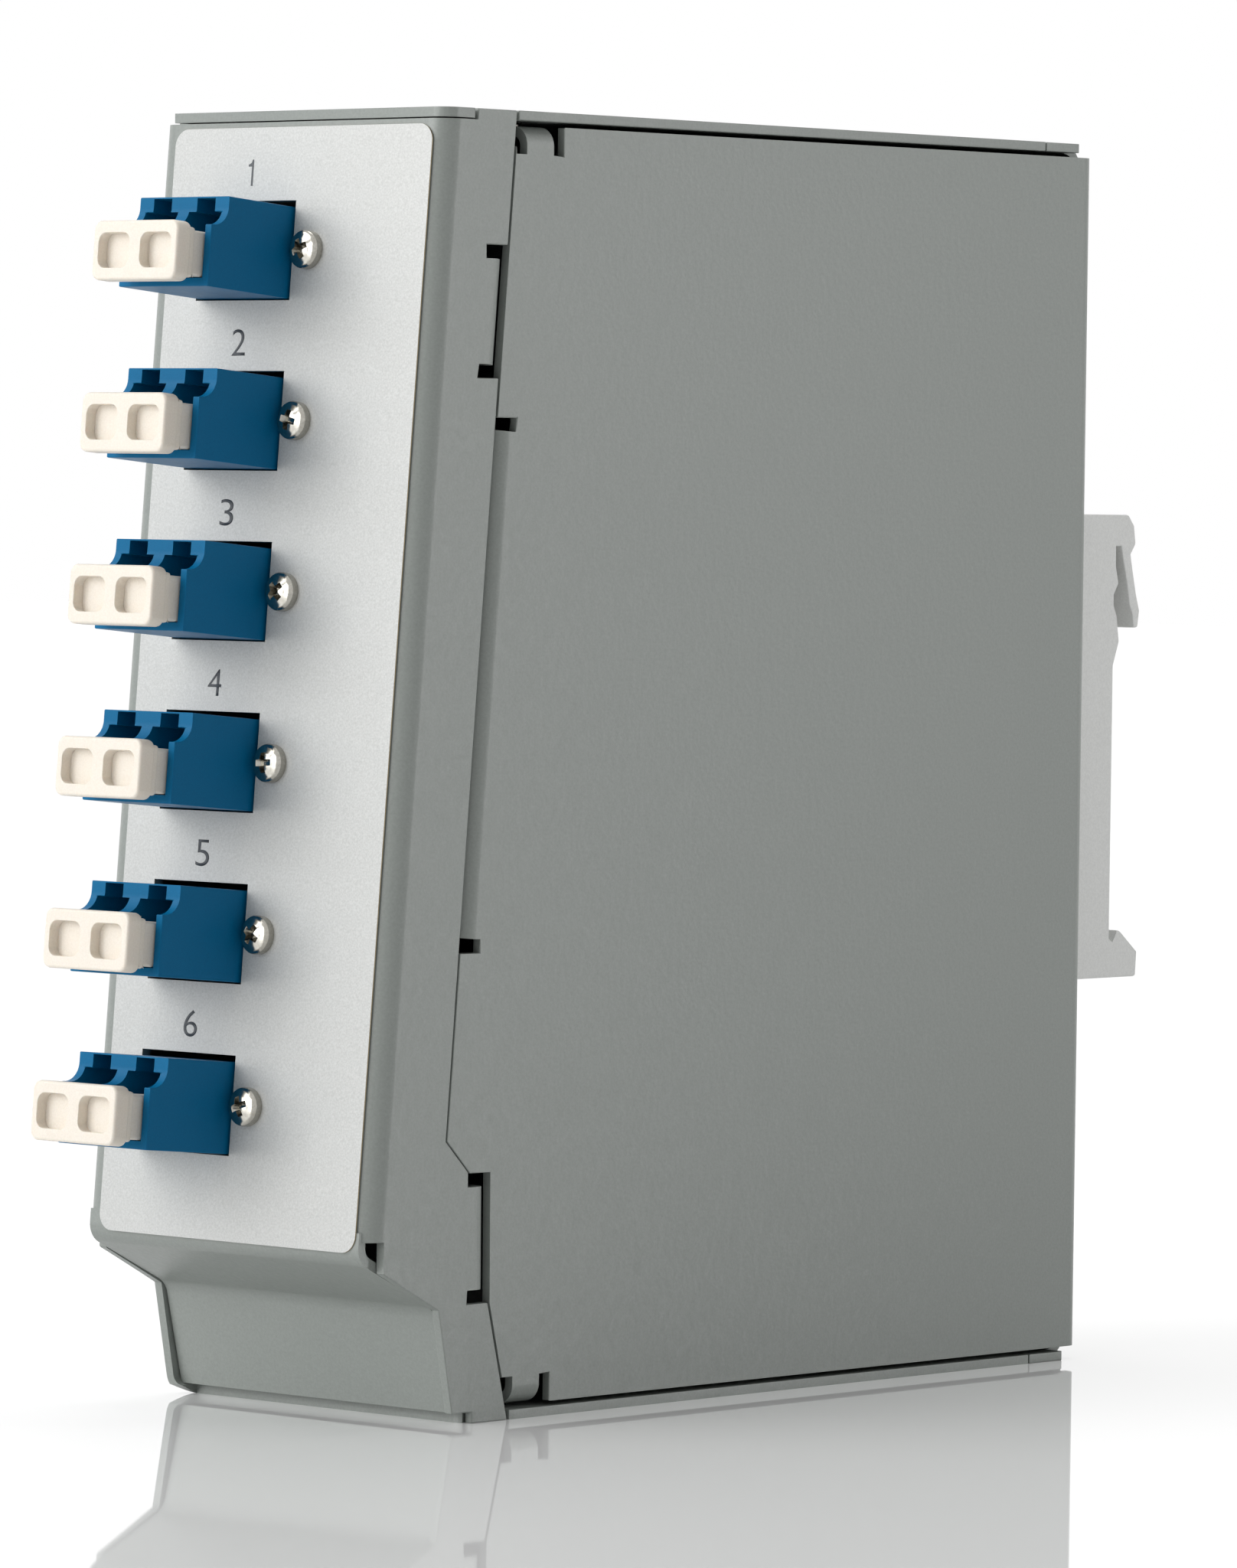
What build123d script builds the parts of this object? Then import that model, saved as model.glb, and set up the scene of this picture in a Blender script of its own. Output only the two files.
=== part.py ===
from build123d import *
import math
import os

# Wall-rail fibre box: a folded steel case with six duplex couplers on a leaning front.
# X runs right, Y runs from front to back, Z runs up. The origin is the middle of the base.

# Case
case_width = 40.8
case_height = 133.4
case_depth = 103.8          # top front edge to rear wall
sheet = 1.0
lean = 4.85                 # the front leans back by this many degrees
front_bend = 2.5            # outer radius of the upright front bends
edge_bend = 2.0             # outer radius of the long edge bends
seam = 0.25                 # gap between two sheets that meet edge to edge
slip = 0.15                 # gap between a sheet and the one that it lies inside
flange_depth = 10.5         # right side flange, from the front plane to the seam

# Chin, the lower front below the label
chin_top = 17.3             # height of the bend under the front plane
relief_top = 19.2           # the upright bends stop here
chin_knee = (0.9, 11.8)     # depth behind the top front edge, height
chin_foot = 3.9             # depth of the chin at its lower edge
flange_rim = 0.45           # the side flanges stand this far proud of the chin
base_front = 5.3            # depth of the base's front edge
base_slit = 5.6             # depth of the slit beside the base's front corner
seam_knees = ((11.3, 0.0), (8.2, 12.2), (8.1, 25.5), (5.1, 25.5))   # seam at the chin: depth, height
seam_straight = 28.9        # above this height the seam follows the front plane

# Bent tabs along the seam, and their reliefs
window_depth = 3.1
tab_bend = 1.5              # outer radius of the hood's tabs
plate_tab_bend = 2.3        # and of the side plate's tab
tab_gap = 0.2               # from a tab to the seam
tab_length = 4.5
notch = 1.4
upper_window = (case_height - 27.2, case_height - 13.7)
lower_window = (12.2, 25.5)
plate_window = (47.9, case_height - 31.2)

# Ears that take the case screws
ear_start = 12.0
ear_width = 4.0
ear_slot = 1.55
ear_drop = 2.9
ear_length = 9.0
plate_gap = 0.5             # gap between the side plate and the top or base sheet
roof_notch = 4.7            # the side flange reaches the top from this depth on
rear_lip = 8.9              # length of the rear wall's lips at the top and the base
rear_lip_bend = 3.0
corner_relief = 0.8         # depth of the slit beside the rear wall's corner bends
corner_slit = 0.3
side_lip = 10.0              # rear wall's lip behind the left side

# Couplers
port_count = 6
port_first = 14.4           # along the face, from the top front edge
port_foot = 14.6            # from the last port to the bend over the chin
face_length = (case_height - chin_top) / math.cos(math.radians(lean))
port_pitch = (face_length - port_first - port_foot) / (port_count - 1)
flange_margin = 2.75        # from the left side to the couplers' flanges
coupler_width = 12.8
screw_pitch = coupler_width + 5.2
coupler_top = 4.45
coupler_bottom = -4.95
coupler_upper_front = 9.4
coupler_lower_front = 11.7
coupler_step = 1.1          # straight drop before the curved step
coupler_curve = 2.0
coupler_rear = 18.0
coupler_flange = (screw_pitch + 4.4, 1.6)
port_x = flange_margin + coupler_flange[0] / 2 - case_width / 2
cutout = (coupler_width + 0.7, coupler_top - coupler_bottom + 0.85)
socket_offset = 3.125
socket = (4.7, -4.05, 2.9)  # width, bottom, top
latch_slot = (2.6, coupler_top - 0.15)  # width, top
sleeve_radius = 0.8
sleeve_bore = 0.63
sleeve_length = 6.8
sleeve_fit = 0.05
holder_radius = 1.6
holder_reach = 8.35

# Dust caps
cap_plate = (12.1, 6.1, 2.1)
cap_front = 16.1
cap_height = -1.7           # middle of the cap against the middle of the cut-out
cap_corner = 1.0
cap_pocket = (4.45, 3.6, 1.3)
cap_plug = (socket[0] - 0.3, 4.6)
cap_plug_tip = 3.6
cap_collar = (0.25, 1.0)    # step at the root of each plug: height, length
cap_plug_bore = 1.8

# Small screws and nuts at the couplers
small_screw = 2.0
small_head = (2.0 * small_screw, 0.8 * small_screw)
small_head_chamfer = 0.7
small_nut = (2.0 * small_screw, 0.8 * small_screw)
thread_fit = 0.03
hole_fit = 0.2

# Front label
label_sheet = 0.15
label_left = 2.65           # margin to the case's left side
label_right = 1.55
label_top = 1.7
label_foot = 0.8            # margin to the bend over the chin
label_corner = 1.8

# Case screws
case_screw = 3.0
case_screw_length = 6.0
case_head = 5.5
clinch_nut = (5.6, 2.0)
side_screw_heights = (36.0, 100.0)

# Cable entry in the base
entry_diameter = 20.4
entry_setback = 25.8        # in front of the rear wall

# Rail foot
foot_inset = 1.5            # on each side
foot_base = 6.1
foot_top = 92.9
foot_bottom = 41.7
foot_nose_top = 46.9
foot_leg_end = 80.4
foot_screw_heights = (53.0, 74.0)
foot_screw = 3.0
foot_fit = 0.05
foot_screw_depth = 5.0       # thread in the foot
foot_screw_head = (5.6, 2.0)

# Splice tray, on the inside of the side plate
tray_size = (64.0, case_height - 29.4, 9.0)     # depth, height, thickness
tray_wall = 1.4
tray_corner = 12.0
tray_centre = (6.0, case_height / 2 - 0.7)      # from the origin, height
tray_stand = 2.5
lid_sheet = 1.0
comb_count = 12
stud_radius = 1.45
stud_reach = (tray_size[0] / 2 - 10.0, tray_size[1] / 2 - 10.0)
stud_places = [(across, height) for across in (-stud_reach[0], stud_reach[0])
               for height in (-stud_reach[1], stud_reach[1])]
tray_nut = (5.5, 2.4)
stud_boss = 3.0
fibre_ways = (-16.0, 16.0)
spool_radius = 9.0
spool_reach = tray_size[1] / 2 - 20.0
comb_size = (26.0, 2 * (spool_reach - spool_radius) - 6.0, 5.5)
spool_rise = 5.0
comb_base = 1.2
comb_rib = 0.9
lid_ridge = 0.8
lid_thumb = 7.0

half = case_width / 2
y_front = -case_depth / 2
y_rear = case_depth / 2
z_roof = case_height - sheet
tray_back = half - sheet - tray_stand
tray_rim = tray_back - tray_size[2]
lean_tan = math.tan(math.radians(lean))


def front_y(z):
    """Y of the outer front plane at a height."""
    return y_front - (case_height - z) * lean_tan


def on_depth(depth):
    return y_front + depth


def block(x0, x1, y0, y1, z0, z1):
    return Pos((x0 + x1) / 2, (y0 + y1) / 2, (z0 + z1) / 2) * Box(abs(x1 - x0), abs(y1 - y0), abs(z1 - z0))


def side_prism(points, x0, x1):
    """Solid with an outline given as (y, z) points, between two X planes."""
    face = Plane.YZ.offset(x0) * make_face(Polyline(*points, close=True))
    return extrude(face, amount=x1 - x0, dir=(1, 0, 0))


def rod(radius, start, length, direction):
    """Cylinder from a point, along a direction."""
    return extrude(Plane(start, z_dir=direction) * Circle(radius), amount=length)


def export(name, shape):
    shape.label = name
    export_step(shape, "parts/" + name + ".step")


def port_location(index):
    """Frame of a port: X right, Y into the case, Z up along the face, on the front plane."""
    along = port_first + port_pitch * index
    y = y_front - along * math.sin(math.radians(lean))
    z = case_height - along * math.cos(math.radians(lean))
    return Location((port_x, y, z), (-lean, 0, 0))


ports = [port_location(i) for i in range(port_count)]


def seam_line(shift=0.0):
    """Seam of the two sheets on the right, from the base to the top as (y, z) points, moved to the rear."""
    knees = [(on_depth(depth), z) for depth, z in seam_knees]
    upper = [(front_y(z) + flange_depth, z) for z in (seam_straight, case_height)]
    return [(y + shift, z) for y, z in knees + upper]


def seam_y(z):
    line = seam_line()
    for (y0, z0), (y1, z1) in zip(line, line[1:]):
        if z0 < z1 and z <= z1:
            return y0 + (y1 - y0) * (z - z0) / (z1 - z0)


def mitre(points, thickness):
    """Points of the same line moved to its right side by a thickness."""
    moved = []
    for i, point in enumerate(points):
        here = Vector(*point)
        before = (here - Vector(*points[i - 1])).normalized() if i else None
        after = (Vector(*points[i + 1]) - here).normalized() if i + 1 < len(points) else None
        one = before or after
        two = after or before
        normals = [Vector(d.Y, -d.X) for d in (one, two)]
        middle = (normals[0] + normals[1]).normalized()
        moved.append(here + middle * (thickness / middle.dot(normals[0])))
    return [(v.X, v.Y) for v in moved]


def bent_sheet(points, bends):
    """Section of a bent sheet in the plane Y, Z, with its bend radii on the given line and inside it."""
    inside = mitre(points, sheet)
    face = make_face(Polyline(*points, *reversed(inside), close=True))
    for i, (given, inner) in enumerate(bends, 1):
        for place, radius in ((points[i], given), (inside[i], inner)):
            corner = face.vertices().sort_by_distance(Vector(*place))[0]
            face = fillet(corner, radius)
    return face


def bent_tab(height, leg, bend):
    """Tab along X, inwards from the right side, whose bend starts at Y 0 and turns towards -Y."""
    face = make_face(Polyline((0, 0), (0, -bend), (-leg, -bend), (-leg, sheet - bend),
                              (-sheet, sheet - bend), (-sheet, 0), close=True))
    face = fillet(face.vertices().sort_by_distance((0, -bend, 0))[0], bend)
    face = fillet(face.vertices().sort_by_distance((-sheet, sheet - bend, 0))[0], bend - sheet)
    return extrude(face, amount=height)


def seam_tab(window, of_plate):
    """Inward tab that follows the seam in a window, with a relief notch at each end."""
    low = window[0] + notch
    high = window[1] - notch
    bend = plate_tab_bend if of_plate else tab_bend
    setback = bend + tab_gap
    if not of_plate:
        setback = -setback
    slope = math.degrees(math.atan2(seam_y(high) - seam_y(low), high - low))
    length = math.hypot(high - low, seam_y(high) - seam_y(low))
    tab = bent_tab(length, tab_length, bend)
    if not of_plate:
        tab = mirror(tab, Plane.XZ)
    return Location((half, seam_y(low) + setback, low), (-slope, 0, 0)) * tab


def seam_window(window, of_plate):
    """Cutter for a tab's window: as deep as the bend along the tab, and deeper at its two reliefs."""
    low, high = window
    bend = plate_tab_bend if of_plate else tab_bend
    side = 1 if of_plate else -1
    cutter = None
    for z0, z1, depth in ((low, high, bend + tab_gap), (low, low + notch, window_depth),
                          (high - notch, high, window_depth)):
        y0, y1 = seam_y(z0), seam_y(z1)
        strip = side_prism([(y0 - side, z0), (y0 + side * depth, z0), (y1 + side * depth, z1),
                            (y1 - side, z1)], half - sheet - 1, half + 1)
        cutter = strip if cutter is None else cutter + strip
    return cutter


def make_chin():
    """Chin panel: from the front plane back and down to the base, inside the two flanges."""
    knee = (on_depth(chin_knee[0]) + flange_rim, chin_knee[1])
    line = [(front_y(relief_top + 1), relief_top + 1), (front_y(chin_top), chin_top), knee,
            (on_depth(chin_foot), sheet + slip)]
    face = bent_sheet(line[::-1], [(2.2, 2.2 + sheet), (2.2, 2.2 - sheet)])
    width = case_width - 2 * (sheet + slip)
    return Pos(-width / 2, 0, 0) * extrude(Plane.YZ * face, amount=width)


def chin_rim():
    """Front edge of the two sides below the upright bends, from the top down, as (y, z) points."""
    rim_y = front_y(relief_top) + front_bend
    knee = (on_depth(chin_knee[0]), chin_knee[1])
    slope = (chin_top - chin_knee[1]) / (knee[0] - front_y(chin_top))
    return [(rim_y, relief_top), (rim_y, knee[1] + (knee[0] - rim_y) * slope), knee,
            (on_depth(chin_foot - flange_rim * 2), sheet)]


def make_front_bends():
    """Front plane with its upright bends and two sides, from the reliefs up to the top sheet."""
    high = z_roof - slip
    outline = [(front_y(relief_top), relief_top), (front_y(high), high), (0, high), (0, relief_top)]
    shell = side_prism(outline, -half, half)
    front_edges = shell.edges().filter_by(lambda e: e.center().Y < y_front and e.length > case_height / 2)
    shell = fillet(front_edges, front_bend)
    back = sheet / math.cos(math.radians(lean))
    core = side_prism([(front_y(0) + back, 0), (front_y(case_height) + back, case_height),
                       (5, case_height), (5, 0)], sheet - half, half - sheet)
    core_edges = core.edges().filter_by(lambda e: e.center().Y < y_front and e.length > case_height / 2)
    return shell - fillet(core_edges, front_bend - sheet)


def make_front_hood():
    # Left side with the top and base sheets folded from it
    section = bent_sheet([(half, 0), (-half, 0), (-half, case_height), (half, case_height)],
                         [(edge_bend, edge_bend - sheet)] * 2)
    wrap = Pos(0, y_rear, 0) * extrude(Plane.XZ * section, amount=y_rear + 70)
    rim = chin_rim()
    ahead = [(y_front - 30, -1), (on_depth(base_front), -1), (on_depth(base_front), 0)] + rim[::-1]
    high = z_roof - slip
    ahead += [(front_y(high) + front_bend, high), (on_depth(front_bend), high),
              (on_depth(front_bend), case_height + 1), (y_front - 30, case_height + 1)]
    wrap -= side_prism(ahead, -half - 1, edge_bend - half)
    wrap -= block(edge_bend - half, half + 1, y_front - 30, y_front, z_roof - 1, case_height + 1)
    wrap -= block(edge_bend - half, half + 1, y_front - 30, on_depth(base_front), -1, sheet + 1)
    wrap -= block(sheet - half, half + 1, y_rear - rear_lip, y_rear + 1, z_roof - 2, case_height + 1)
    wrap -= block(sheet - half, half + 1, y_rear - rear_lip, y_rear + 1, -1, sheet + 2)
    for z in (0, z_roof):
        front = base_front if z == 0 else 0
        edge = [e for e in wrap.edges().filter_by(Axis.Z)
                if abs(e.center().X - half) < 0.01 and abs(e.center().Y - on_depth(front)) < 0.01]
        wrap = fillet(edge, edge_bend)

    # Right flange, from the chin to the top, in front of the seam
    roof_slit = on_depth(roof_notch)
    flange = [(on_depth(base_slit + 0.4), 0), (on_depth(base_slit + 0.4), sheet + slip), (rim[-1][0], sheet + slip)]
    flange += rim[-2::-1] + [(rim[0][0], relief_top + 1), (0, relief_top + 1), (0, 0)]
    side = side_prism(flange, half - sheet, half)
    side += block(half - sheet, half, roof_slit, 0, z_roof - 2, case_height)
    wrap -= block(half - sheet - slip, half + 1, roof_slit - 0.4, seam_y(case_height) + seam, z_roof - 1,
                  case_height + 1)
    wrap -= block(half - sheet - slip, half + 1, on_depth(base_slit), seam_y(0) + seam, -1, sheet + 1)

    bends = make_front_bends()
    hood = bends + side
    behind = seam_line(0) + [(y_rear + 5, case_height), (y_rear + 5, 0)]
    hood -= side_prism(behind, half - front_bend, half + 1)
    for window in (lower_window, upper_window):
        hood -= seam_window(window, False)
        hood += seam_tab(window, False)
    hood += wrap
    hood += make_chin()

    for place in ports:
        hood -= place * block(-cutout[0] / 2, cutout[0] / 2, -1, sheet + 1, -cutout[1] / 2, cutout[1] / 2)
        for x in (-screw_pitch / 2, screw_pitch / 2):
            hood -= place * rod(small_screw / 2 + hole_fit, (x, -1, 0), sheet + 2, (0, 1, 0))
    hood -= rod(entry_diameter / 2, (0, y_rear - entry_setback, -1), sheet + 2, (0, 0, 1))
    for place in case_screw_places:
        hood -= place * (screw_cone(case_head / 2) + Cylinder(case_screw / 2 + hole_fit, 4))
    return hood


ear_y = on_depth(ear_start + ear_width / 2)
ear_screw_x = half - ear_length / 2 - 0.5
case_screw_places = [Location((ear_screw_x, ear_y, 0)), Location((ear_screw_x, ear_y, case_height), (180, 0, 0))]
case_screw_places += [Location((-half, y_rear - side_lip / 2, z), (0, 90, 0)) for z in side_screw_heights]


def screw_cone(radius):
    """Countersunk head that starts at Z 0 and narrows to the shank."""
    depth = case_head / 2 - case_screw / 2
    return Pos(0, 0, depth / 2) * Cone(radius, radius - depth, depth)


def make_case_screws():
    shank = rod(case_screw / 2 - thread_fit, (0, 0, 0), case_screw_length, (0, 0, 1))
    screw = screw_cone(case_head / 2 - thread_fit) + shank
    return Compound(children=[place * screw for place in case_screw_places])


def make_clinch_nuts():
    nuts = []
    for place in case_screw_places:
        gap = plate_gap if place.position.X > 0 else slip
        start = 2 * sheet + gap
        nut = rod(clinch_nut[0] / 2, (0, 0, start), clinch_nut[1], (0, 0, 1))
        nut -= rod(case_screw / 2, (0, 0, start), clinch_nut[1], (0, 0, 1))
        nuts.append(place * nut)
    return Compound(children=nuts)


def make_rear_shell():
    """Right side and rear wall, folded from one sheet, with ears, a seam tab and three rear lips."""
    low = sheet + plate_gap
    high = z_roof - plate_gap
    shell = block(half - sheet, half, y_front - 10, y_rear - edge_bend, low, high)
    ahead = seam_line(seam) + [(y_front - 30, case_height), (y_front - 30, 0)]
    shell -= side_prism(ahead, half - sheet - 1, half + 1)
    shell -= seam_window(plate_window, True)
    shell += seam_tab(plate_window, True)

    # Rear wall with its left lip and the bend to the side plate
    left = sheet + slip - half
    section = bent_sheet([(left, y_rear - side_lip), (left, y_rear), (half, y_rear),
                          (half, y_rear - edge_bend - 1)], [(edge_bend, edge_bend - sheet)] * 2)
    wall = Pos(0, 0, low) * extrude(section, amount=high - low)
    corner_x = half - edge_bend
    for z0, z1 in ((0, rear_lip_bend), (case_height - rear_lip_bend, case_height)):
        wall -= block(-half - 1, corner_x, y_front, y_rear + 1, z0, z1)
        wall -= block(corner_x - corner_slit, corner_x, y_rear - edge_bend, y_rear + 1,
                      z0 - corner_relief, z1 + corner_relief)
    shell += wall

    # Lips at the top and the base, level with the hood's two sheets
    front = y_rear - rear_lip + seam
    profile = bent_sheet([(front, 0), (y_rear, 0), (y_rear, case_height), (front, case_height)][::-1],
                         [(rear_lip_bend, rear_lip_bend - sheet)] * 2)
    shell += Pos(left, 0, 0) * extrude(Plane.YZ * profile, amount=corner_x - corner_slit - left)
    for z in (0, z_roof):
        shell += block(corner_x - 1, half, front, y_rear - rear_lip_bend, z, z + sheet)

    # Ears at the front corners of the side plate
    for z, inner in ((low, -1), (high, 1)):
        for y in (on_depth(ear_start) - ear_slot, on_depth(ear_start) + ear_width):
            shell -= block(half - sheet - 1, half + 1, y, y + ear_slot, z - ear_drop * inner, z + inner)
        shell -= block(half - sheet - 1, half + 1, on_depth(ear_start), on_depth(ear_start) + ear_width,
                       z - (edge_bend + 0.1) * inner, z + inner)
        shell += make_ear(z, inner)
    for place in case_screw_places:
        shell -= place * Cylinder(case_screw / 2 + hole_fit, 12)
    for z in foot_screw_heights:
        shell -= rod(foot_screw / 2 + foot_fit, (0, y_rear - 3, z), 6, (0, 1, 0))
    return shell


def make_ear(z, inner):
    """Ear bent inwards from the side plate at its top (inner 1) or base edge (inner -1)."""
    leg = edge_bend + 0.3
    points = [(half, z - leg * inner), (half, z), (half - ear_length, z)]
    if inner < 0:
        points = points[::-1]
    face = bent_sheet(points[::-1], [(edge_bend, edge_bend - sheet)])
    return Pos(0, on_depth(ear_start) + ear_width, 0) * extrude(Plane.XZ * face, amount=ear_width)


def make_front_label():
    left = label_left - half
    right = half - label_right
    height = face_length - label_foot - label_top
    face = Pos((left + right) / 2, -(label_top + height / 2)) * RectangleRounded(right - left, height, label_corner)
    for i in range(port_count):
        y = -(port_first + port_pitch * i)
        face -= Pos(port_x, y) * Rectangle(*cutout)
        for x in (-screw_pitch / 2, screw_pitch / 2):
            face -= Pos(port_x + x, y) * Circle(small_screw / 2 + hole_fit)
    plane = Plane((0, y_front, case_height), x_dir=(1, 0, 0),
                  z_dir=(0, -math.cos(math.radians(lean)), math.sin(math.radians(lean))))
    return extrude(plane * face, amount=label_sheet)


def make_coupler():
    """Duplex coupler in its port's frame, with the flange behind the panel."""
    step_z = coupler_top - coupler_step
    low_z = step_z - coupler_curve
    land_y = coupler_curve + coupler_upper_front
    outline = [Line((coupler_rear, coupler_bottom), (-coupler_lower_front, coupler_bottom)),
               Line((-coupler_lower_front, coupler_bottom), (-coupler_lower_front, low_z)),
               Line((-coupler_lower_front, low_z), (-land_y, low_z)),
               RadiusArc((-land_y, low_z), (-coupler_upper_front, step_z), -coupler_curve),
               Line((-coupler_upper_front, step_z), (-coupler_upper_front, coupler_top)),
               Line((-coupler_upper_front, coupler_top), (coupler_rear, coupler_top)),
               Line((coupler_rear, coupler_top), (coupler_rear, coupler_bottom))]
    body = extrude(Plane.YZ * make_face(outline), amount=coupler_width / 2, both=True)
    flange_x = coupler_flange[0] / 2
    back = sheet + 0.05
    flange = block(-flange_x, flange_x, back, back + coupler_flange[1], coupler_bottom, coupler_top)
    for x in (-screw_pitch / 2, screw_pitch / 2):
        flange -= rod(small_screw / 2 + hole_fit / 2, (x, 0, 0), 5, (0, 1, 0))
    body += flange
    width, bottom, top = socket
    middle = (coupler_rear - coupler_lower_front) / 2
    for x in (-socket_offset, socket_offset):
        for y0, y1 in ((-coupler_lower_front - 1, middle - 1.2), (middle + 1.2, coupler_rear + 1)):
            body -= block(x - width / 2, x + width / 2, y0, y1, bottom, top)
            body -= block(x - latch_slot[0] / 2, x + latch_slot[0] / 2, y0, y1, top - 1, latch_slot[1])
        start = (x, middle - holder_reach, cap_height)
        body += rod(holder_radius, start, 2 * holder_reach, (0, 1, 0))
        body -= rod(sleeve_bore, start, 2 * holder_reach, (0, 1, 0))
        start = (x, middle - sleeve_length / 2 - 0.1, cap_height)
        body -= rod(sleeve_radius + sleeve_fit, start, 2 * holder_reach, (0, 1, 0))
    return body


def make_sleeves():
    """The two ceramic sleeves that line up the ferrules in a coupler."""
    middle = (coupler_rear - coupler_lower_front) / 2
    sleeves = []
    for x in (-socket_offset, socket_offset):
        start = (x, middle - sleeve_length / 2, cap_height)
        sleeve = rod(sleeve_radius, start, sleeve_length, (0, 1, 0))
        sleeves.append(sleeve - rod(sleeve_bore, start, sleeve_length, (0, 1, 0)))
    return sleeves


def make_cap():
    """Duplex dust cap in its port's frame: a plate with two finger pockets and two plugs."""
    width, height, depth = cap_plate
    front = Plane((0, -cap_front, cap_height), x_dir=(1, 0, 0), z_dir=(0, 1, 0))
    cap = extrude(front * RectangleRounded(width, height, cap_corner), amount=depth)
    for x in (-socket_offset, socket_offset):
        pocket = Pos(x * 0.96, 0) * RectangleRounded(cap_pocket[0], cap_pocket[1], cap_corner)
        cap -= extrude(front * pocket, amount=cap_pocket[2])
        plug_z = cap_plug[1] / 2
        cap += block(x - cap_plug[0] / 2, x + cap_plug[0] / 2, depth - cap_front, -cap_plug_tip,
                     cap_height - plug_z, cap_height + plug_z)
        step, length = cap_collar
        cap += block(x - cap_plug[0] / 2 - step, x + cap_plug[0] / 2 + step, depth - cap_front,
                     depth - cap_front + length, cap_height - plug_z - step, cap_height + plug_z + step)
        cap -= rod(cap_plug_bore, (x, -cap_plug_tip - 3.5, cap_height), 4, (0, 1, 0))
    return cap


def make_small_screw():
    """Pan-head screw in its hole's frame, with its head on the label."""
    seat = -label_sheet
    head = rod(small_head[0] / 2, (0, seat, 0), small_head[1], (0, -1, 0))
    head = chamfer(head.edges().sort_by(Axis.Y)[0], small_head_chamfer)
    length = sheet + coupler_flange[1] + small_nut[1] + 0.8
    return head + rod(small_screw / 2 - thread_fit, (0, seat - 0.1, 0), length, (0, 1, 0))


def make_small_nut():
    start = sheet + 0.05 + coupler_flange[1]
    plane = Plane((0, start, 0), z_dir=(0, 1, 0))
    nut = extrude(plane * RegularPolygon(small_nut[0] / 2, 6, major_radius=False), amount=small_nut[1])
    return nut - rod(small_screw / 2, (0, start - 1, 0), small_nut[1] + 2, (0, 1, 0))


def at_screw_holes(make):
    solids = []
    for place in ports:
        for x in (-screw_pitch / 2, screw_pitch / 2):
            solids.append(place * Pos(x, 0, 0) * make())
    return Compound(children=solids)


def make_rail_foot():
    """Foot for a top-hat rail: a rigid hook at the top, a notched nose at the bottom."""
    outline = [(0, foot_bottom), (0, foot_top), (8.5, foot_top), (9.5, foot_top - 1.2), (9.8, foot_top - 3.2),
               (8.95, foot_top - 4.4), (9.4, foot_top - 6.4), (10.0, foot_top - 8.8), (10.6, foot_top - 10.6),
               (10.3, foot_leg_end), (9.5, foot_leg_end), (9.3, foot_top - 11.0), (8.8, foot_top - 10.0),
               (8.3, foot_top - 7.6), (7.65, foot_top - 5.2), (7.2, foot_top - 3.5), (6.4, foot_top - 3.5),
               (6.4, foot_top - 5.7), (6.9, foot_top - 7.6), (foot_base, foot_top - 8.8),
               (foot_base, foot_top - 10.0), (6.65, foot_top - 11.2), (7.1, foot_top - 14.0),
               (foot_base, foot_top - 16.7), (foot_base, foot_nose_top - 0.8), (6.6, foot_nose_top - 1.3),
               (7.4, foot_nose_top), (7.7, foot_nose_top), (11.0, foot_nose_top - 2.6),
               (10.8, foot_bottom)]
    foot = side_prism([(y_rear + y, z) for y, z in outline], foot_inset - half, half - foot_inset)
    for z in foot_screw_heights:
        foot -= rod(foot_screw / 2, (0, y_rear, z), foot_screw_depth + 0.3, (0, 1, 0))
    return foot


def make_foot_screws():
    seat = y_rear - sheet
    screws = []
    for z in foot_screw_heights:
        head = rod(foot_screw_head[0] / 2, (0, seat, z), foot_screw_head[1], (0, -1, 0))
        rim = head.edges().sort_by(Axis.Y)[0]
        shank = rod(foot_screw / 2 - thread_fit, (0, seat, z), sheet + foot_screw_depth, (0, 1, 0))
        screws.append(chamfer(rim, 0.6) + shank)
    return Compound(children=screws)


def on_tray(x, across, height):
    """Point on the tray from its middle, at an X position."""
    return (x, tray_centre[0] + across, tray_centre[1] + height)


def tray_slab(x0, x1, shrink):
    """Rounded slab over the tray's outline, made smaller all round by a margin."""
    plane = Plane(on_tray(x0, 0, 0), x_dir=(0, 1, 0), z_dir=(1, 0, 0))
    outline = RectangleRounded(tray_size[0] - 2 * shrink, tray_size[1] - 2 * shrink, tray_corner - shrink)
    return extrude(plane * outline, amount=x1 - x0)


def make_splice_tray():
    floor = tray_back - tray_wall
    tray = tray_slab(tray_rim, tray_back, 0) - tray_slab(tray_rim, floor, tray_wall)
    for across, height in stud_places:
        tray += rod(stud_boss, on_tray(half - sheet, across, height), tray_stand + tray_wall, (-1, 0, 0))
        tray -= rod(stud_radius + thread_fit, on_tray(half - sheet, across, height), tray_stand + tray_wall,
                    (-1, 0, 0))

    # Fibre ways through the lower wall, and two spools that keep the fibre in wide bends
    for across in fibre_ways:
        centre = on_tray(floor, across, -tray_size[1] / 2)
        tray -= block(tray_rim - 1, floor, centre[1] - 2.5, centre[1] + 2.5, centre[2] - 1, centre[2] + 3)
    for height in (-spool_reach, spool_reach):
        start = on_tray(floor, 0, height)
        spool = rod(spool_radius, start, spool_rise, (-1, 0, 0))
        tray += spool - rod(spool_radius - tray_wall, start, spool_rise, (-1, 0, 0))
    return tray


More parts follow.
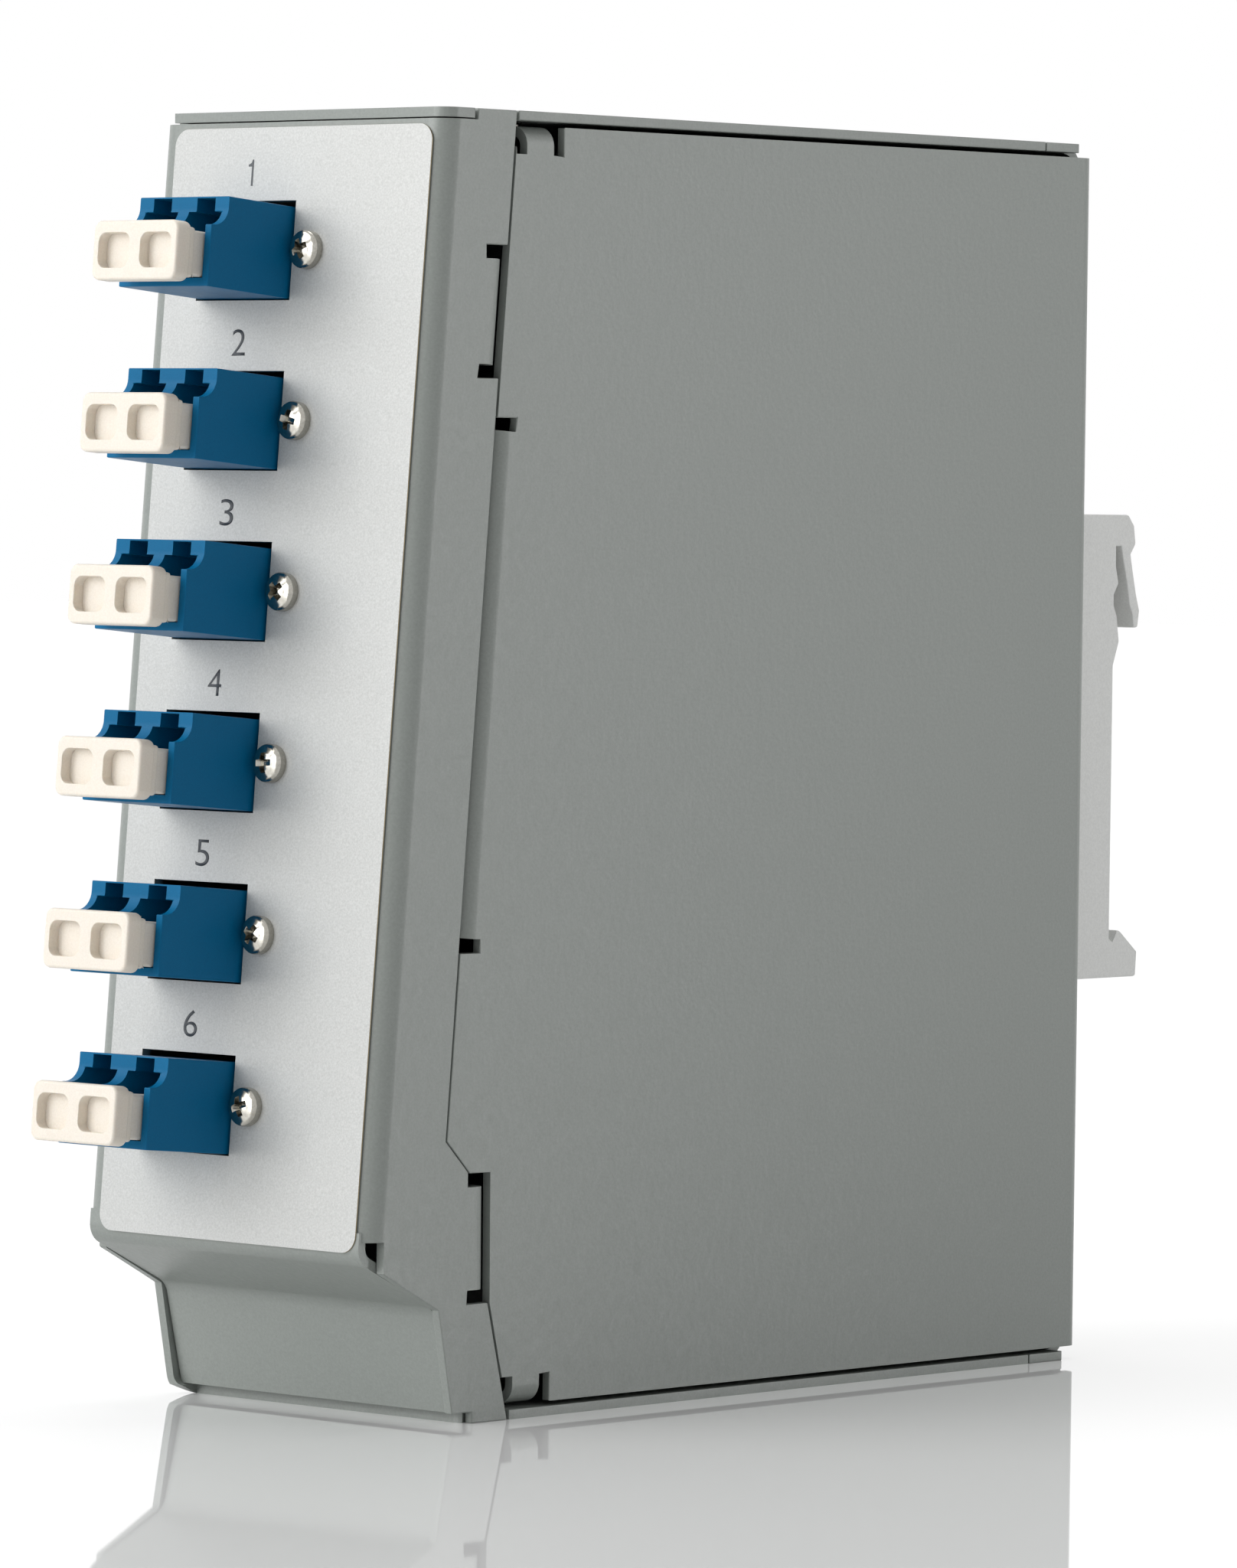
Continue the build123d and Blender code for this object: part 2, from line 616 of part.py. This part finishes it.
def make_splice_comb():
    """Holder for the spliced fibres: a base with a row of ribs."""
    across, height, rise = comb_size
    floor = tray_back - tray_wall
    centre = on_tray(floor, 0, 0)
    y0 = centre[1] - across / 2
    z0 = centre[2] - height / 2
    comb = block(floor - comb_base, floor, y0, y0 + across, z0, z0 + height)
    pitch = (across - comb_rib) / comb_count
    for i in range(comb_count + 1):
        y = y0 + i * pitch
        comb += block(floor - rise, floor - comb_base, y, y + comb_rib, z0, z0 + height)
    return comb


def make_tray_lid():
    """Flat lid on the tray's rim, with a locating ridge and a thumb cut-out."""
    lid = tray_slab(tray_rim - lid_sheet, tray_rim, 0)
    ridge = tray_wall + slip
    lid += tray_slab(tray_rim, tray_rim + lid_ridge, ridge) - tray_slab(tray_rim, tray_rim + lid_ridge, ridge + 1)
    return lid - rod(lid_thumb, on_tray(tray_rim - 2, 0, tray_size[1] / 2 + 3), 8, (1, 0, 0))


def at_studs(start, make):
    return Compound(children=[make(on_tray(start, *place)) for place in stud_places])


def make_stud(start):
    return rod(stud_radius, start, tray_stand + tray_wall + tray_nut[1] + 0.8, (-1, 0, 0))


def make_tray_nut(start):
    plane = Plane(start, z_dir=(-1, 0, 0))
    nut = extrude(plane * RegularPolygon(tray_nut[0] / 2, 6, major_radius=False), amount=tray_nut[1])
    return nut - rod(stud_radius + thread_fit, start, tray_nut[1], (-1, 0, 0))


os.makedirs("parts", exist_ok=True)
export("front_hood", make_front_hood())
export("rear_shell", make_rear_shell())
export("front_label", make_front_label())
coupler = make_coupler()
cap = make_cap()
sleeves = []
for index, place in enumerate(ports, 1):
    export("lc_coupler_" + str(index), place * coupler)
    export("dust_cap_" + str(index), place * cap)
    sleeves += [place * sleeve for sleeve in make_sleeves()]
export("alignment_sleeves", Compound(children=sleeves))
export("adapter_screws", at_screw_holes(make_small_screw))
export("adapter_nuts", at_screw_holes(make_small_nut))
export("case_screws", make_case_screws())
export("clinch_nuts", make_clinch_nuts())
export("rail_foot", make_rail_foot())
export("foot_screws", make_foot_screws())
export("splice_tray", make_splice_tray())
export("splice_comb", make_splice_comb())
export("tray_lid", make_tray_lid())
export("tray_studs", at_studs(half - sheet, make_stud))
export("tray_nuts", at_studs(tray_back - tray_wall, make_tray_nut))
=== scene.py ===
import bmesh
import bpy
import math
from mathutils import Matrix, Vector, geometry


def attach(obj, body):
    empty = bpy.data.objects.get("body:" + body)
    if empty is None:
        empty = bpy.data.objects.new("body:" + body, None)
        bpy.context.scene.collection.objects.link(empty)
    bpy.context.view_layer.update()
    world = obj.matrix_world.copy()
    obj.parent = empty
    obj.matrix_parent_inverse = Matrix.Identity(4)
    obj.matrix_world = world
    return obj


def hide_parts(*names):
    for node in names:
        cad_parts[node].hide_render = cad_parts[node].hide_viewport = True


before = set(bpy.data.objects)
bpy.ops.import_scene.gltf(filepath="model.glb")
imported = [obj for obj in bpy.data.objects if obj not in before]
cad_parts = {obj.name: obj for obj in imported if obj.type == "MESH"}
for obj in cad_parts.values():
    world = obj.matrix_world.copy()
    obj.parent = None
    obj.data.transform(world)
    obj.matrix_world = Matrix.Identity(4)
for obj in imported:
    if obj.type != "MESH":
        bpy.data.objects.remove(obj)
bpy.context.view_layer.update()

print("frame loaded")

mm = 0.001
lean = math.radians(4.85)
# the row of couplers down the face, in mm: distance along the face from its top edge, and across
ports = {"count": 6, "first": 14.4, "pitch": 17.5, "x": -6.45, "topY": -51.9, "topZ": 133.4, "screwX": 9.0}
weld = 0.001 * mm                   # joins the corners that neighbouring faces of a CAD mesh share


def portPlace(index):
    # x right, y into the case, z up along the leaning front
    along = ports["first"] + ports["pitch"] * index
    y = ports["topY"] - along * math.sin(lean)
    z = ports["topZ"] - along * math.cos(lean)
    return Matrix.Translation(Vector((ports["x"], y, z)) * mm) @ Matrix.Rotation(-lean, 4, "X")


def linear(code):
    # sRGB hex to linear
    values = []
    for start in (1, 3, 5):
        part = int(code[start:start + 2], 16) / 255
        values.append(part / 12.92 if part <= 0.04045 else ((part + 0.055) / 1.055) ** 2.4)
    return (*values, 1.0)


def addNode(tree, kind, settings=(), links=()):
    # settings go to a socket of that name or number, or else to the node itself
    node = tree.nodes.new(kind)
    for name, value in dict(settings).items():
        if isinstance(name, int) or name in node.inputs:
            node.inputs[name].default_value = value
        else:
            setattr(node, name, value)
    for name, socket in dict(links).items():
        tree.links.new(socket, node.inputs[name])
    return node


def startMaterial(name, surface):
    material = bpy.data.materials.new(name)
    material.use_nodes = True
    tree = material.node_tree
    tree.nodes.clear()
    shader = addNode(tree, "ShaderNodeBsdfPrincipled", surface)
    addNode(tree, "ShaderNodeOutputMaterial", links={"Surface": shader.outputs[0]})
    where = addNode(tree, "ShaderNodeTexCoord").outputs["Object"]
    return material, tree, shader, where


def perMetre(size):
    # texture scale for a feature of this size in millimetres
    return 1 / (size * mm)


# how deep the bump goes, and between which values of the noise the two shades blend
relief = {"grain": 0.03 * mm, "wave": 0.05 * mm, "blend": (0.3, 0.7)}


def grained(name, surface, shades, grain, peel, bump, roughness):
    # two shades mixed by a fine grain, over a wider wave; grain and peel in mm, bump for grain and wave
    material, tree, shader, where = startMaterial(name, surface)
    fine = addNode(tree, "ShaderNodeTexNoise", {"Scale": perMetre(grain), "Detail": 3.0, "Roughness": 0.6},
                   {"Vector": where})
    wide = addNode(tree, "ShaderNodeTexNoise", {"Scale": perMetre(peel), "Detail": 1.0}, {"Vector": where})
    colour = addNode(tree, "ShaderNodeValToRGB", links={"Fac": fine.outputs["Fac"]})
    for stop, position, shade in zip(colour.color_ramp.elements, relief["blend"], shades):
        stop.position = position
        stop.color = linear(shade)
    tree.links.new(colour.outputs["Color"], shader.inputs["Base Color"])
    rough = addNode(tree, "ShaderNodeMapRange", {"To Min": roughness[0], "To Max": roughness[1]},
                    {"Value": wide.outputs["Fac"]})
    tree.links.new(rough.outputs["Result"], shader.inputs["Roughness"])
    under = addNode(tree, "ShaderNodeBump", {"Strength": bump[1], "Distance": relief["wave"]},
                    {"Height": wide.outputs["Fac"]})
    over = addNode(tree, "ShaderNodeBump", {"Strength": bump[0], "Distance": relief["grain"]},
                   {"Height": fine.outputs["Fac"], "Normal": under.outputs["Normal"]})
    tree.links.new(over.outputs["Normal"], shader.inputs["Normal"])
    return material


# polyester powder coat on folded steel: satin grey with a fine grain that waves a little
powderCoat = grained("powder_coated_steel", {"IOR": 1.5}, ("#848985", "#8C918D"), 0.3, 0.75,
                     (0.3, 0.45), (0.3, 0.42))
# printed silver polyester foil with a fine matt grain
silverFoil = grained("silver_polyester_foil", {"IOR": 1.5, "Metallic": 0.2}, ("#AEAFAD", "#C1C2C0"), 0.2, 3.0,
                     (0.25, 0.05), (0.38, 0.46))
# cut edge of the foil, where its clear adhesive shows
foilEdge = grained("foil_cut_edge", {"IOR": 1.45}, ("#8C8062", "#A59777"), 0.1, 0.5, (0.1, 0.1), (0.5, 0.6))
# PBT, moulded, spark-eroded tool: deep blue with a low sheen
bluePbt = grained("moulded_blue_pbt", {"IOR": 1.55, "Specular IOR Level": 0.12}, ("#00618D", "#006897"), 0.12, 1.2,
                  (0.1, 0.12), (0.36, 0.44))
# soft polyethylene cap, moulded: waxy ivory, light goes a little way in
ivoryPe = grained("moulded_ivory_pe", {"IOR": 1.5, "Subsurface Weight": 0.25, "Subsurface Scale": 0.6 * mm,
                                       "Subsurface Radius": (1.0, 0.8, 0.6)},
                  ("#E0D8CC", "#E8E1D6"), 0.2, 1.5, (0.12, 0.15), (0.42, 0.5))
# glass-filled polyamide foot, moulded: light grey with a faint flow pattern
greyPa = grained("moulded_grey_pa", {"IOR": 1.53}, ("#D0D1CF", "#DCDDDB"), 0.25, 4.0, (0.2, 0.15), (0.42, 0.5))
# steel with bright zinc plating: smooth metal with a faint yellow passivation
zincPlate = grained("zinc_plated_steel", {"Metallic": 1.0}, ("#A3A097", "#B5B3AC"), 0.3, 0.9, (0.04, 0.1), (0.1, 0.2))
# zirconia, ground: dense white with a gloss
zirconia = grained("ground_zirconia", {"IOR": 2.1}, ("#ECE8DE", "#F3F0E8"), 0.1, 0.8, (0.02, 0.02), (0.12, 0.18))
# black ABS tray, moulded with a matt grain
blackAbs = grained("moulded_black_abs", {"IOR": 1.54}, ("#1D1E20", "#27282A"), 0.3, 2.0, (0.3, 0.1), (0.45, 0.55))
# natural polypropylene comb, moulded, slightly clear
naturalPp = grained("moulded_natural_pp", {"IOR": 1.49, "Subsurface Weight": 0.3, "Subsurface Scale": 1.0 * mm},
                    ("#D3D2CA", "#DEDDD6"), 0.3, 2.0, (0.1, 0.1), (0.4, 0.5))
# printed marks, dark grey ink
printInk = grained("printed_grey_ink", {"IOR": 1.5}, ("#4A4D50", "#55585B"), 0.15, 1.0, (0.1, 0.05), (0.5, 0.6))
print("materials made")


def paint(node, material):
    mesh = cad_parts[node].data
    mesh.materials.clear()
    mesh.materials.append(material)


coats = ((powderCoat, ("front_hood", "rear_shell")),
         (silverFoil, ("front_label",)),
         (greyPa, ("rail_foot",)),
         (blackAbs, ("splice_tray", "tray_lid")),
         (naturalPp, ("splice_comb",)),
         (zirconia, ("alignment_sleeves",)),
         (zincPlate, ("adapter_screws", "adapter_nuts", "case_screws", "clinch_nuts", "foot_screws",
                      "tray_studs", "tray_nuts")))
for material, nodes in coats:
    for node in nodes:
        paint(node, material)
for index in range(ports["count"]):
    paint("lc_coupler_%d" % (index + 1), bluePbt)
    paint("dust_cap_%d" % (index + 1), ivoryPe)

# the foil's front and back are printed silver, its cut edge shows the adhesive
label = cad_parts["front_label"].data
label.materials.append(foilEdge)
outward = Vector((0, -math.cos(lean), math.sin(lean)))
flatEnough = 0.7
for face in label.polygons:
    face.material_index = 0 if abs(face.normal.dot(outward)) > flatEnough else 1
print("cad nodes painted")


def meshOf(bm, name="scratch"):
    mesh = bpy.data.meshes.new(name)
    bm.to_mesh(mesh)
    bm.free()
    return mesh


def newPiece(name, bm, material, body="case"):
    mesh = meshOf(bm, name)
    mesh.materials.append(material)
    piece = bpy.data.objects.new(name, mesh)
    bpy.context.scene.collection.objects.link(piece)
    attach(piece, body)
    return piece


def hasRoom(edge, room):
    # no other edge of its two faces comes closer than this
    for face in edge.link_faces:
        for other in face.edges:
            if set(other.verts) & set(edge.verts):
                continue
            for one, two in ((edge, other), (other, edge)):
                start, end = (vert.co for vert in one.verts)
                for vert in two.verts:
                    along = min(1, max(0, geometry.intersect_point_line(vert.co, start, end)[1]))
                    if (vert.co - start.lerp(end, along)).length < room:
                        return False
    return True


def shadeByAngle(piece, angle, even=True):
    # smooth up to this angle, whatever marks the CAD mesh brought along
    for name in ("custom_normal", "sharp_edge", "sharp_face"):
        if name in piece.data.attributes:
            piece.data.attributes.remove(piece.data.attributes[name])
    for face in piece.data.polygons:
        face.use_smooth = True
    piece.data.set_sharp_from_angle(angle=math.radians(angle))
    if even:
        weighted = piece.modifiers.new("flat faces stay flat", "WEIGHTED_NORMAL")
        weighted.keep_sharp = True
        weighted.weight = 100


# angles in degrees: faces nearer than "flat" are one, edges over "edge" get rounded, shading breaks at "shade";
# "room" is the free width beside an edge for each width of its rounding, "fine" the small rounding in mm
rounding = {"flat": 0.2, "edge": 40, "shade": 34, "room": 2.3, "fine": 0.08}


def isSharp(edge):
    return edge.calc_face_angle(0) > math.radians(rounding["edge"])


def softened(node, width, material, body="case", segments=2, fine=None, bent=False, crowded=False):
    # copy of a node with its sharp outer edges rounded; fine(edge) picks those that stay nearly sharp;
    # a bent sheet keeps the edges that run into a bend, and it or a crowded one those too close to another
    bm = bmesh.new()
    bm.from_mesh(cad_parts[node].data)
    bmesh.ops.remove_doubles(bm, verts=bm.verts, dist=weld)
    bmesh.ops.dissolve_limit(bm, angle_limit=math.radians(rounding["flat"]), verts=bm.verts, edges=bm.edges)
    for edge in bm.edges:
        edge.smooth = True
    sharp = [edge for edge in bm.edges if len(edge.link_faces) == 2 and edge.is_convex and isSharp(edge)]
    if bent:
        corners = {vert for vert in bm.verts if all(isSharp(edge) for edge in vert.link_edges)}
        sharp = [edge for edge in sharp if corners.issuperset(edge.verts)]
    if bent or crowded:
        sharp = [edge for edge in sharp if hasRoom(edge, rounding["room"] * width * mm)]
    nearlySharp = [edge for edge in sharp if fine and fine(edge)]
    rest = [edge for edge in sharp if edge not in nearlySharp]
    for edges, offset in ((nearlySharp, rounding["fine"]), (rest, width)):
        bmesh.ops.bevel(bm, geom=edges, offset=offset * mm, offset_type="OFFSET", affect="EDGES",
                        segments=segments, profile=0.5, material=-1, clamp_overlap=False)
    piece = newPiece("soft_" + node, bm, material, body)
    shadeByAngle(piece, rounding["shade"])
    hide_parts(node)


# where a cap's two finger pockets lie, in mm in its port's frame
pockets = {"across": 5.6, "low": -3.9, "high": 0.5, "front": -14.5}

for index in range(ports["count"]):
    unplace = portPlace(index).inverted()
    softened("lc_coupler_%d" % (index + 1), 0.12, bluePbt, crowded=True)

    def inPocket(edge):
        spots = [unplace @ vert.co / mm for vert in edge.verts]
        return all(abs(spot.x) < pockets["across"] and pockets["low"] < spot.z < pockets["high"]
                   and spot.y < pockets["front"] for spot in spots)

    softened("dust_cap_%d" % (index + 1), 0.32, ivoryPe, "cap_%d" % (index + 1), 3, fine=inPocket)
softened("rail_foot", 0.25, greyPa, crowded=True)
softened("front_hood", 0.15, powderCoat, bent=True)
softened("rear_shell", 0.15, powderCoat, bent=True)
print("edges softened")


# pan-head screws beside the couplers, with a cross recess: mm, angles in degrees
panHead = {"radius": 2.0, "height": 1.6, "crown": 0.42, "crownSteps": 5, "round": 0.6, "roundSteps": 6,
           "seat": 0.15, "shank": 0.97, "length": 5.0, "sides": 32, "recessTurn": 45,
           "portTurn": 37, "sideTurn": 20, "shade": 35,
           "armWidth": 0.85, "armReach": 1.35, "recess": 1.0, "tipWidth": 0.35, "tipReach": 0.6}
proud = 0.3                         # how far the recess cutter stands out of the head


def crossCutter(size):
    # two tapered bars that cross, pointing into the head along +Z from Z 0
    bm = bmesh.new()
    for turn in (0, 90):
        made = bmesh.ops.create_cube(bm, size=1)["verts"]
        for vert in made:
            top = vert.co.z < 0
            reach, wide = (size["armReach"], size["armWidth"]) if top else (size["tipReach"], size["tipWidth"])
            vert.co = Vector((math.copysign(reach, vert.co.x), math.copysign(wide / 2, vert.co.y),
                              -proud if top else size["recess"])) * mm
        bmesh.ops.rotate(bm, verts=made, cent=(0, 0, 0), matrix=Matrix.Rotation(math.radians(turn), 3, "Z"))
    return bm


def withRecess(headMesh, places, size):
    # cut a cross recess into a mesh at each place
    cutters = bmesh.new()
    for place in places:
        start = len(cutters.verts)
        cutters.from_mesh(meshOf(crossCutter(size)))
        cutters.verts.ensure_lookup_table()
        bmesh.ops.transform(cutters, matrix=place, verts=cutters.verts[start:])
    head = bpy.data.objects.new("head", headMesh)
    cutter = bpy.data.objects.new("cutter", meshOf(cutters))
    for item in (head, cutter):
        bpy.context.scene.collection.objects.link(item)
    cut = head.modifiers.new("recess", "BOOLEAN")
    cut.operation = "DIFFERENCE"
    cut.solver = "EXACT"
    cut.use_self = True
    cut.object = cutter
    bpy.context.view_layer.update()
    ready = bpy.data.meshes.new_from_object(head.evaluated_get(bpy.context.evaluated_depsgraph_get()))
    for item in (head, cutter):
        bpy.data.objects.remove(item)
    return ready


def turnedBy(degrees, axis):
    return Matrix.Rotation(math.radians(degrees), 4, axis)


def movedBy(x, y, z):
    # by these millimetres
    return Matrix.Translation(Vector((x, y, z)) * mm)


# half outline of one screw, from the middle of its crown over the rim to the end of the shank
bm = bmesh.new()
size = panHead
flat = size["radius"] - size["round"]
crownParts = [step / size["crownSteps"] for step in range(size["crownSteps"] + 1)]
profile = [(flat * part, size["height"] - size["crown"] * part ** 2) for part in crownParts]
rimTop = profile[-1][1]
for step in range(1, size["roundSteps"] + 1):
    turn = math.radians(30 + 10 * step)     # the rim's arc starts at 30 degrees, where sin is 0.5 and cos 0.87
    profile.append((flat + size["round"] * (math.sin(turn) - 0.5) * 2,
                    rimTop - size["round"] * (0.87 - math.cos(turn))))
profile += [(size["radius"], 0), (size["shank"], 0), (size["shank"], -size["length"]), (0, -size["length"])]
line = [bm.verts.new((across * mm, 0, -along * mm)) for across, along in profile]
for one, two in zip(line, line[1:]):
    bm.edges.new((one, two))
bmesh.ops.spin(bm, geom=bm.verts[:] + bm.edges[:], axis=(0, 0, 1), cent=(0, 0, 0), angle=math.tau,
               steps=size["sides"], use_merge=True)
bmesh.ops.remove_doubles(bm, verts=bm.verts, dist=2 * weld)
bmesh.ops.recalc_face_normals(bm, faces=bm.faces)
screwMesh = withRecess(meshOf(bm), [movedBy(0, 0, -size["height"]) @ turnedBy(size["recessTurn"], "Z")], size)

bm = bmesh.new()
intoCase = turnedBy(-90, "X")       # Z of the screw becomes Y of the port
for index in range(ports["count"]):
    for side in (-1, 1):
        start = len(bm.verts)
        bm.from_mesh(screwMesh)
        bm.verts.ensure_lookup_table()
        turned = turnedBy(size["portTurn"] * index + size["sideTurn"] * side, "Z")
        place = portPlace(index) @ movedBy(side * ports["screwX"], -size["seat"], 0)
        bmesh.ops.transform(bm, matrix=place @ intoCase @ turned, verts=bm.verts[start:])
screws = newPiece("pan_head_screws", bm, zincPlate)
shadeByAngle(screws, size["shade"], even=False)
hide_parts("adapter_screws")

# countersunk case screws: two through the ears, two through the left side
caseScrews = {"x": 15.4, "y": -37.9, "top": 133.4, "left": -20.4, "lipY": 46.9, "heights": (36.0, 100.0),
              "firstTurn": 20, "stepTurn": 25, "shade": 35,
              "armWidth": 0.7, "armReach": 1.45, "recess": 1.2, "tipWidth": 0.25, "tipReach": 0.5}
size = caseScrews
places = [movedBy(size["x"], size["y"], 0), movedBy(size["x"], size["y"], size["top"]) @ turnedBy(180, "X")]
places += [movedBy(size["left"], size["lipY"], height) @ turnedBy(90, "Y") for height in size["heights"]]
places = [place @ turnedBy(size["firstTurn"] + size["stepTurn"] * step, "Z") for step, place in enumerate(places)]
bm = bmesh.new()
bm.from_mesh(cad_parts["case_screws"].data)
bmesh.ops.remove_doubles(bm, verts=bm.verts, dist=weld)
recessedMesh = withRecess(meshOf(bm), places, size)
bm = bmesh.new()
bm.from_mesh(recessedMesh)
recessed = newPiece("countersunk_case_screws", bm, zincPlate)
shadeByAngle(recessed, size["shade"], even=False)
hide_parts("case_screws")
print("screws made")


# printed port numbers: mm, "broad" is the width of 2 to 6 against their height, "one" the outline of the 1
numbers = {"height": 2.72, "rise": 8.05, "x": -0.05, "label": 0.15, "thick": 0.02, "broad": 0.7, "thin": -0.008,
           "oneBroad": 0.93 / 0.9,
           "one": ((0, 0), (0.085, 0), (0.085, 1), (0.03, 1), (-0.03, 0.87), (-0.17, 0.8), (-0.17, 0.73), (0, 0.73))}
bm = bmesh.new()
for index in range(ports["count"]):
    start = len(bm.verts)
    if index == 0:
        # the built-in font's 1 is a bare stroke, so this one is drawn with its flag
        bm.faces.new([bm.verts.new((x, y, 0)) for x, y in numbers["one"]])
    else:
        curve = bpy.data.curves.new("number", "FONT")
        curve.body = str(index + 1)
        curve.offset = numbers["thin"]
        holder = bpy.data.objects.new("number", curve)
        bpy.context.scene.collection.objects.link(holder)
        bpy.context.view_layer.update()
        flat = bpy.data.meshes.new_from_object(holder.evaluated_get(bpy.context.evaluated_depsgraph_get()))
        bpy.data.objects.remove(holder)
        bm.from_mesh(flat)
    bm.verts.ensure_lookup_table()
    made = bm.verts[start:]
    low, high = (pick(vert.co.y for vert in made) for pick in (min, max))
    left, right = (pick(vert.co.x for vert in made) for pick in (min, max))
    grow = numbers["height"] / (high - low)
    spread = numbers["broad"] * numbers["height"] / (right - left) if index else numbers["oneBroad"] * grow
    shape = Matrix.Diagonal((spread, grow, 1, 1)) @ Matrix.Translation((-(left + right) / 2, -(low + high) / 2, 0))
    place = portPlace(index) @ movedBy(numbers["x"], -numbers["label"] - numbers["thick"] / 2, numbers["rise"])
    bmesh.ops.transform(bm, matrix=place @ Matrix.Scale(mm, 4) @ turnedBy(90, "X") @ shape, verts=made)
thick = bmesh.ops.extrude_face_region(bm, geom=bm.faces[:])
moved = [item for item in thick["geom"] if isinstance(item, bmesh.types.BMVert)]
outwards = portPlace(0).to_3x3() @ Vector((0, -1, 0))
bmesh.ops.translate(bm, verts=moved, vec=outwards * numbers["thick"] * mm)
bmesh.ops.recalc_face_normals(bm, faces=bm.faces)
newPiece("port_numbers", bm, printInk)
print("port numbers made")


# floor and light: "lift" is the glow that the camera sees on the floor, "soft" and "white" the world's strength
# for the light on the object and for what is seen straight or in a reflection
studio = {"floor": 4.0, "lift": 0.12, "soft": 0.25, "white": 1.0}
bm = bmesh.new()
bmesh.ops.create_grid(bm, x_segments=1, y_segments=1, size=studio["floor"])
floor = bpy.data.objects.new("studio_floor", meshOf(bm, "studio_floor"))
bpy.context.scene.collection.objects.link(floor)
# lacquered white table top, polished
floorPaint, tree, shader = startMaterial("glossy_white_table", {
    "Base Color": linear("#F6F6F6"), "IOR": 1.5, "Roughness": 0.03, "Coat Weight": 0.35, "Coat Roughness": 0.03,
    "Emission Color": linear("#FFFFFF")})[:3]
path = addNode(tree, "ShaderNodeLightPath")
lift = addNode(tree, "ShaderNodeMath", {"operation": "MULTIPLY", 1: studio["lift"]},
               {0: path.outputs["Is Camera Ray"]})
tree.links.new(lift.outputs[0], shader.inputs["Emission Strength"])
floor.data.materials.append(floorPaint)

world = bpy.data.worlds.new("studio")
bpy.context.scene.world = world
world.use_nodes = True
tree = world.node_tree
tree.nodes.clear()
path = addNode(tree, "ShaderNodeLightPath")
seen = addNode(tree, "ShaderNodeMath", {"operation": "MAXIMUM"},
               {0: path.outputs["Is Camera Ray"], 1: path.outputs["Is Transmission Ray"]})
seen = addNode(tree, "ShaderNodeMath", {"operation": "MAXIMUM"},
               {0: seen.outputs[0], 1: path.outputs["Is Glossy Ray"]})
soft = addNode(tree, "ShaderNodeBackground", {"Color": linear("#FFFFFF"), "Strength": studio["soft"]})
white = addNode(tree, "ShaderNodeBackground", {"Color": linear("#FFFFFF"), "Strength": studio["white"]})
mixed = addNode(tree, "ShaderNodeMixShader", links={0: seen.outputs[0], 1: soft.outputs[0], 2: white.outputs[0]})
addNode(tree, "ShaderNodeOutputWorld", links={"Surface": mixed.outputs[0]})

# two softboxes at the front left, a strip at the right and one box above: place and size in m, power in W
lamps = {"high left": ((-1.2, -1.6, 1.5), (1.8, 1.8), 26.0),
         "low left": ((-0.6, -2.0, 0.4), (1.7, 1.7), 33.0),
         "right": ((0.75, 0.62, 0.3), (0.12, 0.8), 2.6),
         "top": ((-0.2, 0.3, 1.3), (0.8, 0.8), 6.0)}
aim = Vector((0, -0.01, 0.065))
for name, (place, size, power) in lamps.items():
    lamp = bpy.data.lights.new(name, "AREA")
    lamp.shape = "RECTANGLE"
    lamp.size, lamp.size_y = size
    lamp.energy = power
    holder = bpy.data.objects.new(name, lamp)
    holder.location = place
    holder.rotation_euler = (aim - Vector(place)).to_track_quat("-Z", "Y").to_euler()
    bpy.context.scene.collection.objects.link(holder)
bpy.context.scene.view_settings.view_transform = "Standard"
print("stage lit")

# camera: front right, a little above the middle of the case; angles in degrees, focal length in pixels
view = {"place": (0.6090, -0.6743, 0.09592), "azimuth": 42.188, "pitch": 2.041, "roll": 0.7225,
        "focal": 11098.89, "pictureWidth": 1616, "sensor": 36, "nearest": 0.05}
azimuth, pitch, roll = (math.radians(view[key]) for key in ("azimuth", "pitch", "roll"))
forward = Vector((-math.sin(azimuth) * math.cos(pitch), math.cos(azimuth) * math.cos(pitch), -math.sin(pitch)))
right = Vector((math.cos(azimuth), math.sin(azimuth), 0))
up = right.cross(forward)
turnedRight = right * math.cos(roll) + up * math.sin(roll)
turnedUp = up * math.cos(roll) - right * math.sin(roll)
camera = bpy.data.objects.new("camera", bpy.data.cameras.new("camera"))
camera.data.sensor_fit = "HORIZONTAL"
camera.data.sensor_width = view["sensor"]
camera.data.lens = view["focal"] / view["pictureWidth"] * view["sensor"]
camera.data.clip_start = view["nearest"]
turn = Matrix((turnedRight, turnedUp, -forward)).transposed().to_4x4()
camera.matrix_world = Matrix.Translation(view["place"]) @ turn
bpy.context.scene.collection.objects.link(camera)
bpy.context.scene.camera = camera
print("camera placed")
